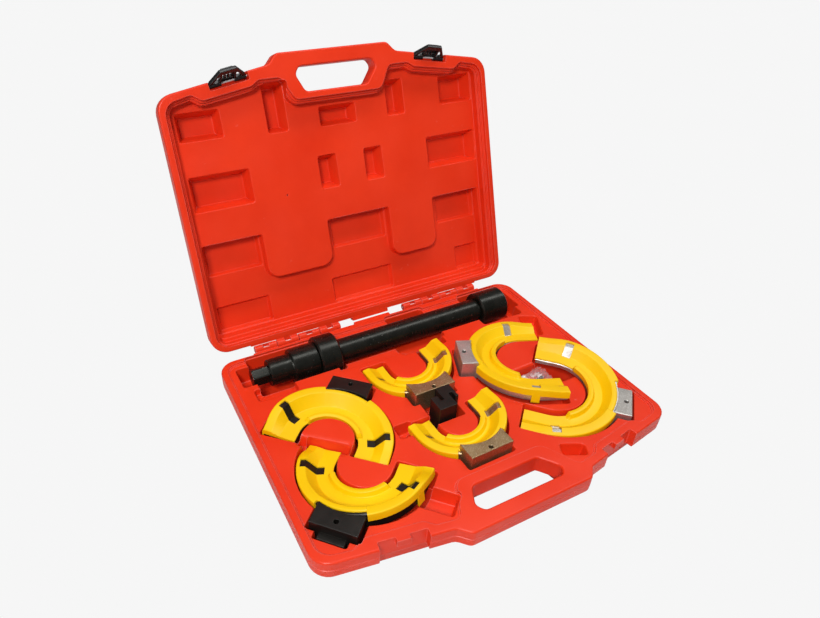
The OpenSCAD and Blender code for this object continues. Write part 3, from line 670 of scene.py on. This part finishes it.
# --- latches ------------------------------------------------------------------------------
def build_latch(side, name):
    """A swinging flap that narrows to a hooked bar, with three cornered windows and a ribbed middle."""
    w, tip, bar_top = LATCH_W / 2, LATCH_TIP / 2, -LATCH_ARM + LATCH_BAR
    barrel = lathe("latch_" + name, [(-w, 3.0), (-w + 0.6, 3.6), (w - 0.6, 3.6), (w, 3.0)], 40)
    def upright(points, profile):
        tool = prism("tool", points, profile)
        tool.data.transform(ALONG_Y)
        return tool

    flap = [(-tip, -LATCH_ARM, 1.5), (tip, -LATCH_ARM, 1.5), (w, -4, 1.5), (w, 0, 0.5), (-w, 0, 0.5),
            (-w, -4, 1.5)]
    boolean(barrel, upright(flap, [(-0.6, -1.4), (0, -0.8), (0, 2.7), (-0.6, 3.5)]), "UNION")
    thumb = [(-9, -LATCH_ARM + 2, 1), (9, -LATCH_ARM + 2, 1), (10.5, -4, 1), (-10.5, -4, 1)]
    boolean(barrel, upright(thumb, [(0, 2), (0, 5.0), (-0.9, 5.9)]), "UNION")
    for arm in (-1, 1):
        edge = [(tip - 1.5, -LATCH_ARM + 3, 0.5), (tip + 0.3, -LATCH_ARM + 3, 0.5), (w - 0.8, -4, 0.5),
                (w - 4, -4, 0.5)]
        corners = [(12.0, bar_top + 2.5, 0.8), (14.0, bar_top + 2.5, 0.8), (21.0, -5.2, 0.8),
                   (12.0, -5.2, 0.8)]
        if arm < 0:
            edge = [(-x, y, radius) for x, y, radius in reversed(edge)]
            corners = [(-x, y, radius) for x, y, radius in reversed(corners)]
        boolean(barrel, upright(edge, [(0, 2), (0, 4.0), (-0.6, 4.6)]), "UNION")
        boolean(barrel, upright(corners, [(0, -20), (0, 20)]))
    half_tab = TAB_W / 2 + 1
    boolean(barrel, upright(box_points(-half_tab, half_tab, bar_top, 5, 0.5), [(0, -10), (0, 1.9)]))
    for x in (-5.2, 0.0, 5.2):
        boolean(barrel, upright(box_points(x - 1.5, x + 1.5, bar_top + 2.5, -6, 0.6), [(0, -20), (0, 20)]))
    bored(barrel, ALONG_X, PIN_BORE_R, -w - 2, w + 2, 20)
    swing = Matrix.Rotation(math.radians(-LATCH_OPEN), 4, "X")
    place = LID @ latch_frame(side) @ Matrix.Translation((0, 0, LATCH_PIN_Z)) @ swing
    return done(barrel, place, name + "_latch", LATCH, ["latch_" + name])


# --- spindle ------------------------------------------------------------------------------
SPINDLE = CASE @ Matrix.Translation((0, -50, -8))


def chamfered(x0, x1, r, c=1.0):
    return [(x0, r - c), (x0 + c, r), (x1 - c, r), (x1, r - c)]


def slot_cut(target, x0, x1, r, depth, width):
    """The flat-bottomed slot for a yoke block, on the underside."""
    tool = prism("tool", box_points(x0, x1, -width / 2, width / 2, 2), [(0, -r - 5), (0, -r + depth)])
    boolean(target, tool)


def hollow(target, x0, x1, r):
    boolean(target, lathe("tool", [(x0, r), (x1, r)], 72))


def build_spindle():
    nose = [(-196.5, 18.6), (-195.0, 20.0), (-163.5, 20.0), (-162.0, 20.6), (-162.0, 24.6), (-160.6, 26.0),
            (-123.0, 26.0), (-121.7, 24.9)]
    housing = lathe("bearing_case", nose)
    hollow(housing, -200, -120, 12.05)
    hollow(housing, -184, -120, 17.6)
    done(housing, SPINDLE, "spindle", OXIDE, ["bearing_housing"])

    collar = lathe("collar_upper", [(-121.5, 31.0), (-119.5, 33.0), (-91.5, 33.0), (-89.0, 30.8)])
    slot_cut(collar, -112.5, -98, 33, 10, 37)
    hollow(collar, -125, -80, 19.05)
    done(collar, SPINDLE, "spindle", OXIDE, ["upper_collar"])

    tube = lathe("tube_outer", chamfered(-121.5, 168, 19.0, 0.8))
    hollow(tube, -130, 170, 14.5)
    bored(tube, Matrix.Translation((150, 0, 0)) @ Matrix.Rotation(math.pi, 4, "X"), 2.55, 8, 30, 24)
    done(tube, SPINDLE, "spindle", OXIDE, ["outer_tube"])

    low = lathe("collar_lower", [(169.0, 25.8), (170.6, 27.5), (216.0, 27.5), (218.0, 25.4)])
    slot_cut(low, 182, 205, 27.5, 10, 37)
    hollow(low, 160, 230, 14.5)
    done(low, SPINDLE, "sleeve", OXIDE, ["lower_collar"])

    cap = lathe("cap_end", [(205.0, 11.4), (218.05, 11.4), (218.05, 20.2), (218.8, 21.0), (221.2, 21.0),
                            (222.0, 20.2)])
    boolean(cap, lathe("tool", [(220.0, 5.0), (221.0, 6.0), (230.0, 6.0)], 48))
    done(cap, SPINDLE, "sleeve", MACHINED, ["end_cap"])

    screw_profile = [(-222.0, 12.2), (-220.2, 13.9), (-197.5, 13.9), (-196.7, 12.6), (-196.6, 12.0),
                     (-173.3, 12.0), (-173.2, 16.5), (-164.0, 16.5), (-163.5, 9.0)]
    coupling = frame["record"]["behaviour"]["couplings"][0]
    pitch = math.tau / coupling["ratio"] * MM_PER_M
    count = 420
    screw_profile += [(-163.0 + 203.0 * i / count, 8.9) for i in range(count + 1)]

    def relief(x, a):
        if x < -197.4:
            flat = 12.0 / math.cos((a + math.pi / 6) % (math.pi / 3) - math.pi / 6)
            return min(flat, 13.7) - 13.9 if x > -221.0 else min(flat, 12.4) - 12.2
        if x > -160.0:
            turn = (x / pitch - a / math.tau) % 1.0
            return min(0.95, max(-0.75, 3.2 * (0.5 - abs(2 * turn - 1.0))))
        return 0.0

    screw = lathe("drive_shaft", screw_profile, 72, relief)
    boolean(screw, lathe("tool", [(-230.0, 4.5), (-221.5, 4.0), (-219.0, 0.3)], 32))
    done(screw, SPINDLE, "screw", OXIDE, ["drive_screw"])


# --- yokes and protectors -------------------------------------------------------------------
def sweep(name, leg, section, breaks=()):
    """Sweeps a closed section along the horseshoe. section(a) gives (radius, z) points, where a is the angle
    from the block in degrees, positive to the right, going on past 90 by the distance along a leg."""
    marks = [-90 - leg, -90 - leg * 0.75, -90 - leg * 0.4, -90 - leg * 0.12]
    marks += [-90 + 180 * i / 48 for i in range(49)]
    marks += [-m for m in marks[:4]]
    for b in breaks:
        marks += [b - 0.12, b + 0.12, -b - 0.12, -b + 0.12]
    rings = []
    for a in sorted(marks):
        ring = []
        for r, z in section(a):
            if abs(a) <= 90:
                t = math.radians(a)
                ring.append((r * math.sin(t), -r * math.cos(t), z))
            else:
                ring.append((math.copysign(r, a), abs(a) - 90, z))
        rings.append(ring)
    return loft(name, rings)


def ease(t):
    t = max(0.0, min(1.0, t))
    return t * t * (3 - 2 * t)


SEAT_T = 8.0
SKIN = 2.2
LIP_H = 7.0
LIP_END = 58.0
TAPER_FROM = 74.0
BLOCK_H = 33.0
HEAD_T = 12.0
NECK_HALF = 17.0
LOCK_DEPTH = 30.0


def build_yoke(key, steel_material):
    kind, x, y, angle, seat, top, tilt, _floor = YOKES[key]
    s = YOKE_SIZES[kind]
    ri, ro, leg, b = s["ri"], s["ro"], s["leg"], s["block"] / 2
    crest, foot = ro - s["crest"], ro - s["foot"]
    lean = Matrix.Translation((0, 0, seat)) @ Matrix.Rotation(math.radians(-tilt), 4, "Y")

    def rim_at(a):
        """The rim slopes down towards the ends of the legs."""
        return s["rim"] * (1 - s["taper"] * ease((abs(a) - TAPER_FROM) / (90 + leg - TAPER_FROM)))

    def section(a):
        rim = rim_at(a)
        return [
            (ri + 1.0, -SEAT_T), (ro - 3.0, -SEAT_T), (ro - 1.0, -SEAT_T + 0.8), (ro, -SEAT_T + 2.6),
            (ro, rim - 1.2), (ro - 1.2, rim), (crest, rim), (crest - 0.9, rim - 0.05 * rim),
            (foot + 0.9, 0.05 * rim), (foot, 0.0), (ri + 1.0, 0.0), (ri, -1.0), (ri, -SEAT_T + 1.0),
        ]

    body = sweep("yoke_" + key, leg, section)
    body.data.transform(lean)
    # The block is level; the seat and rim are cut away round it, then it is added.
    arc = s["arc"]
    spread = math.asin(b / arc)
    curve = [(arc * math.sin(spread * (1 - k / 8)), -arc * math.cos(spread * (1 - k / 8))) for k in range(17)]
    edge = [(-b, -s["reach"]), (b, -s["reach"])] + curve
    head = loft("tool", [[(px, py, z) for px, py in edge] for z in (top - BLOCK_H, top)])
    bevelled(head, 1.1, 3)
    room = loft("tool", [[(px, py, z) for px, py in edge] for z in (top - HEAD_T, top + 40.0)])
    boolean(body, room)
    boolean(body, head, "UNION")
    if s["neck"] > 4:
        neck = box_points(-NECK_HALF, NECK_HALF, -s["reach"] - s["neck"], -s["reach"] + 5, 1.5)
        low, high = top - BLOCK_H, top - HEAD_T - 0.5
        boolean(body, prism("tool", neck, [(-1, low), (0, low + 1), (0, high - 1), (-1, high)]), "UNION")
    hole_y = -(ro + s["reach"]) / 2 - 1
    lock = ((2.9, top - LOCK_DEPTH), (3.1, top - 0.4), (3.5, top + 0.05), (3.5, top + 5))
    boolean(body, loft("tool", [[(px, py, z) for px, py in circle(r, 40, hole_y)] for r, z in lock]))
    body_name = key + "_yoke"
    node = f"{kind}_yoke_{key.split('_')[1]}"
    done(body, CASE @ turned(x, y, angle), body_name, steel_material, [node])

    # The protector: floor, ramp, rim cap and outer flange; an inner lip runs along the middle of the arc.
    reach_angle = math.degrees(math.asin(min(1.0, (b + 2.5) / ro)))

    def skin(a):
        near = abs(a) < reach_angle
        end = abs(a) > 90 + leg + 0.2
        rim = rim_at(a)
        part = 1 - ease((abs(a) - LIP_END) / 5.0)
        lip = LIP_H * part
        lo = ri + 0.6 - 2.1 * part
        out = ro - 3.3 if near else ro + SKIN + 0.05
        inner = ro - 3.4 if near else ro + 0.05
        cap = rim + SKIN + (0.6 if near else 0.0)
        drop = rim + 0.1 if near else rim - 9.0
        under = [(lo, 0.1), (foot - 0.2, 0.1), (foot + 0.8, 0.05 * rim + 0.15),
                 (crest - 1.1, 0.95 * rim + 0.1), (crest - 0.1, rim + 0.1), (inner, rim + 0.1)]
        if end:
            drop = min(drop, -1.5)
            under = [(x, -1.5) for x, _z in under]
        return under + [
            (inner, drop), (out, drop), (out, cap - 1.9), (out - 0.6, cap - 0.6), (out - 1.9, cap),
            (crest - 0.6, cap), (crest - 1.9, cap - 0.08 * rim), (foot - 0.1, SKIN + 0.05 * rim),
            (foot - 1.6, SKIN), (ri + 8.0, SKIN), (ri + 7.0, SKIN + lip * 0.15),
            (ri + 5.6, SKIN + lip * 0.85), (ri + 4.6, SKIN + lip), (ri + 1.4, SKIN + lip),
            (lo, SKIN + lip - 1.2 * part),
        ]

    guard = sweep("guard_" + key, leg + 1.4, skin, (reach_angle, LIP_END, LIP_END + 5.0, 90 + leg + 0.2))
    for a, outer, inside, half in s["windows"]:
        here = Matrix.Rotation(math.radians(a), 4, "Z")
        tab = prism("tool", box_points(-6.0, 6.0, -ro - SKIN - 0.05, -ro - 0.05, 0.5),
                    [(-0.4, -SEAT_T - 1), (0, -SEAT_T), (0, rim_at(a) - 6.0)])
        tab.data.transform(here)
        boolean(guard, tab, "UNION")
        window = prism("tool", box_points(-half, half, -ro + outer, -ro + inside, 0.6), [(0, -3), (0, 40)])
        window.data.transform(here)
        boolean(guard, window)
    guard.data.transform(lean)
    guard_node = f"{kind}_guard_{key.split('_')[1]}"
    done(guard, CASE @ turned(x, y, angle), body_name, YELLOW, [guard_node], 50.0)


# --- adapter and bag ------------------------------------------------------------------------
def build_adapter():
    points = [(0, 0), (27, 0), (27, 23.2), (33, 23.2), (33, 13.5), (37.5, 13.5), (37.5, 38.5), (15.5, 38.5),
              (15.5, 15.5), (10.5, 15.5), (10.5, 25), (0, 25)]
    block = loft("adapter_block", [[(x, y, z) for x, y in points] for z in (-29, 16)])
    bevelled(block, 0.7, 2)
    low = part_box("drive_adapter")[0]
    corner = Matrix.Translation((low[0] * MM_PER_M, low[1] * MM_PER_M, BASE_H))
    bored(block, Matrix.Translation((12, 0, -10)) @ ALONG_Y, 2.5, -11, 2, 24)
    done(block, SCALE @ corner, "adapter", BLACK, ["drive_adapter"])


def build_bag():
    """A crumpled pouch of two film sheets joined round their edge."""
    low, high = (Vector(v) * MM_PER_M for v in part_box("parts_bag"))
    middle, size = (low + high) / 2, high - low
    n, m = 64, 44
    verts, faces = [], []
    for sheet in (1, -1):
        for j in range(m + 1):
            for i in range(n + 1):
                u, v = 2 * i / n - 1, 2 * j / m - 1
                rim = (1 - u ** 8) * (1 - v ** 8)
                fold = noise.fractal(Vector((u * 1.5, v * 1.3, sheet * 3.1)), 1.0, 2.0, 2)
                crease = 1 - 2.6 * abs(noise.noise(Vector(((u - v) * 1.9, (u + v) * 0.7, sheet * 1.7 + 5.0))))
                peak = max(0.0, crease) ** 2
                x = middle.x + u * size.x * (0.58 + 0.06 * noise.noise(Vector((v * 4, 1.3, 0))))
                y = middle.y + v * size.y * (0.60 + 0.07 * noise.noise(Vector((u * 4, 4.3, 0))))
                z = middle.z + sheet * rim * size.z * (0.26 + 0.32 * fold + 0.34 * peak)
                z += 3.0 * math.sin(2 * u + v)
                verts.append((x, y, max(min(z, high.z + 8), low.z)))
    row, count = n + 1, (n + 1) * (m + 1)
    for j in range(m):
        for i in range(n):
            a = j * row + i
            faces.append((a, a + 1, a + row + 1, a + row))
            faces.append((count + a, count + a + row, count + a + row + 1, count + a + 1))
    border = list(range(n)) + [j * row + n for j in range(m)]
    border += [m * row + i for i in range(n, 0, -1)] + [j * row for j in range(m, 0, -1)]
    for k, a in enumerate(border):
        b = border[(k + 1) % len(border)]
        faces.append((a, count + a, count + b, b))
    bag = solid("pouch_film", verts, faces)
    done(bag, SCALE, "bag", FILM, ["parts_bag"], 180.0)


# --- pieces kept from the frame ---------------------------------------------------------------
KEPT = {
    "hinge_pins": PAINTED_GLINT_PIN, "latch_pin_left": PAINTED_GLINT_PIN, "latch_pin_right": PAINTED_GLINT_PIN, "thrust_races": MACHINED,
    "thrust_balls": MACHINED, "retaining_ring": OILED, "guide_screw": OILED, "inner_sleeve": OILED,
    "screw_nut": NUT, "sleeve_pins": OILED, "spare_screws": OILED,
}


def dress_kept():
    for node, material in KEPT.items():
        mesh = frame["nodes"][node].data
        mesh.materials.clear()
        mesh.materials.append(material)


# --- studio --------------------------------------------------------------------------------------
def build_studio():
    floor_mesh = bpy.data.meshes.new("floor")
    r, below = 6.0, -0.0005
    corners = [(-r, -r, below), (r, -r, below), (r, r, below), (-r, r, below)]
    floor_mesh.from_pydata(corners, [], [(0, 1, 2, 3)])
    floor = bpy.data.objects.new("floor", floor_mesh)
    bpy.context.scene.collection.objects.link(floor)
    t = Tree("pale floor")
    grey = t.mix(t.noise(3.0), (0.66, 0.66, 0.66), (0.70, 0.70, 0.70))
    t.set(Base_Color=grey, Roughness=0.6)
    lit = t.nodes.new("ShaderNodeEmission")
    t.put(lit.inputs["Color"], t.mix(t.noise(3.0), (0.92, 0.92, 0.92), (0.925, 0.925, 0.925)))
    seen = t.nodes.new("ShaderNodeLightPath").outputs["Is Camera Ray"]
    both = t.nodes.new("ShaderNodeMixShader")
    t.put(both.inputs["Fac"], seen)
    t.links.new(t.shader.outputs[0], both.inputs[1])
    t.links.new(lit.outputs[0], both.inputs[2])
    t.links.new(both.outputs[0], t.nodes["Material Output"].inputs["Surface"])
    floor_mesh.materials.append(t.material)

    # The backdrop is even for the camera; for light it is a dim dome, brighter overhead.
    world = bpy.data.worlds.new("studio")
    bpy.context.scene.world = world
    world.use_nodes = True
    tree = world.node_tree
    dome = tree.nodes["Background"]
    height = tree.nodes.new("ShaderNodeSeparateXYZ")
    tree.links.new(tree.nodes.new("ShaderNodeTexCoord").outputs["Generated"], height.inputs[0])
    grade = tree.nodes.new("ShaderNodeMapRange")
    grade.inputs["To Min"].default_value = 0.05
    grade.inputs["To Max"].default_value = 0.30
    tree.links.new(height.outputs["Z"], grade.inputs["Value"])
    tree.links.new(grade.outputs["Result"], dome.inputs["Strength"])
    dome.inputs["Color"].default_value = (1.0, 1.0, 1.0, 1.0)
    backdrop = tree.nodes.new("ShaderNodeBackground")
    backdrop.inputs["Color"].default_value = (0.922, 0.922, 0.922, 1.0)
    choose = tree.nodes.new("ShaderNodeMixShader")
    tree.links.new(tree.nodes.new("ShaderNodeLightPath").outputs["Is Camera Ray"], choose.inputs["Fac"])
    tree.links.new(dome.outputs[0], choose.inputs[1])
    tree.links.new(backdrop.outputs[0], choose.inputs[2])
    tree.links.new(choose.outputs[0], tree.nodes["World Output"].inputs["Surface"])

    def area(name, place, target, size, power):
        light = bpy.data.lights.new(name, "AREA")
        light.shape = "RECTANGLE"
        light.size, light.size_y = size
        light.energy = power
        lamp = bpy.data.objects.new(name, light)
        lamp.location = place
        lamp.rotation_euler = (Vector(target) - Vector(place)).to_track_quat("-Z", "Y").to_euler()
        bpy.context.scene.collection.objects.link(lamp)

    area("key", (-1.15, -1.25, 1.8), (0, 0, 0.1), (0.6, 0.5), 38.5)
    area("left", (-1.9, 0.1, 0.9), (0, 0, 0.15), (1.0, 1.4), 3.0)
    area("overhead", (0.85, 0.1, 1.95), (0.85, 0.1, 0.0), (2.2, 0.5), 20.0)


CAMERA_AT = Vector((-0.3877, -0.5191, 0.6418))
CAMERA_TURN = Vector((2.1362, -0.5079, 0.2802))
LENS = 27.255
SHIFT = (0.0526, -0.0026)


def build_camera():
    camera = bpy.data.cameras.new("camera")
    camera.lens = LENS
    camera.sensor_width = 36.0
    camera.sensor_fit = "HORIZONTAL"
    camera.shift_x, camera.shift_y = SHIFT
    camera.clip_start = 0.01
    seen = bpy.data.objects.new("camera", camera)
    world_from_view = Matrix.Rotation(CAMERA_TURN.length, 3, CAMERA_TURN.normalized()).transposed()
    flip = Matrix.Diagonal((1, -1, -1))
    seen.matrix_world = Matrix.Translation(CAMERA_AT) @ (world_from_view @ flip).to_4x4()
    bpy.context.scene.collection.objects.link(seen)
    bpy.context.scene.camera = seen


build_base()
build_lid()
build_latch(-1, "left")
build_latch(1, "right")
build_spindle()
for key in YOKES:
    metal, metal_slot = {"small": (BRONZE, "bronze_steel"), "medium": (BLACK, "black_steel"),
                         "large": (SILVER, "silver_steel")}[key.split("_")[0]]
    build_yoke(key, metal)
build_adapter()
build_bag()
dress_kept()
build_studio()
build_camera()
bpy.context.scene.view_settings.view_transform = "Standard"
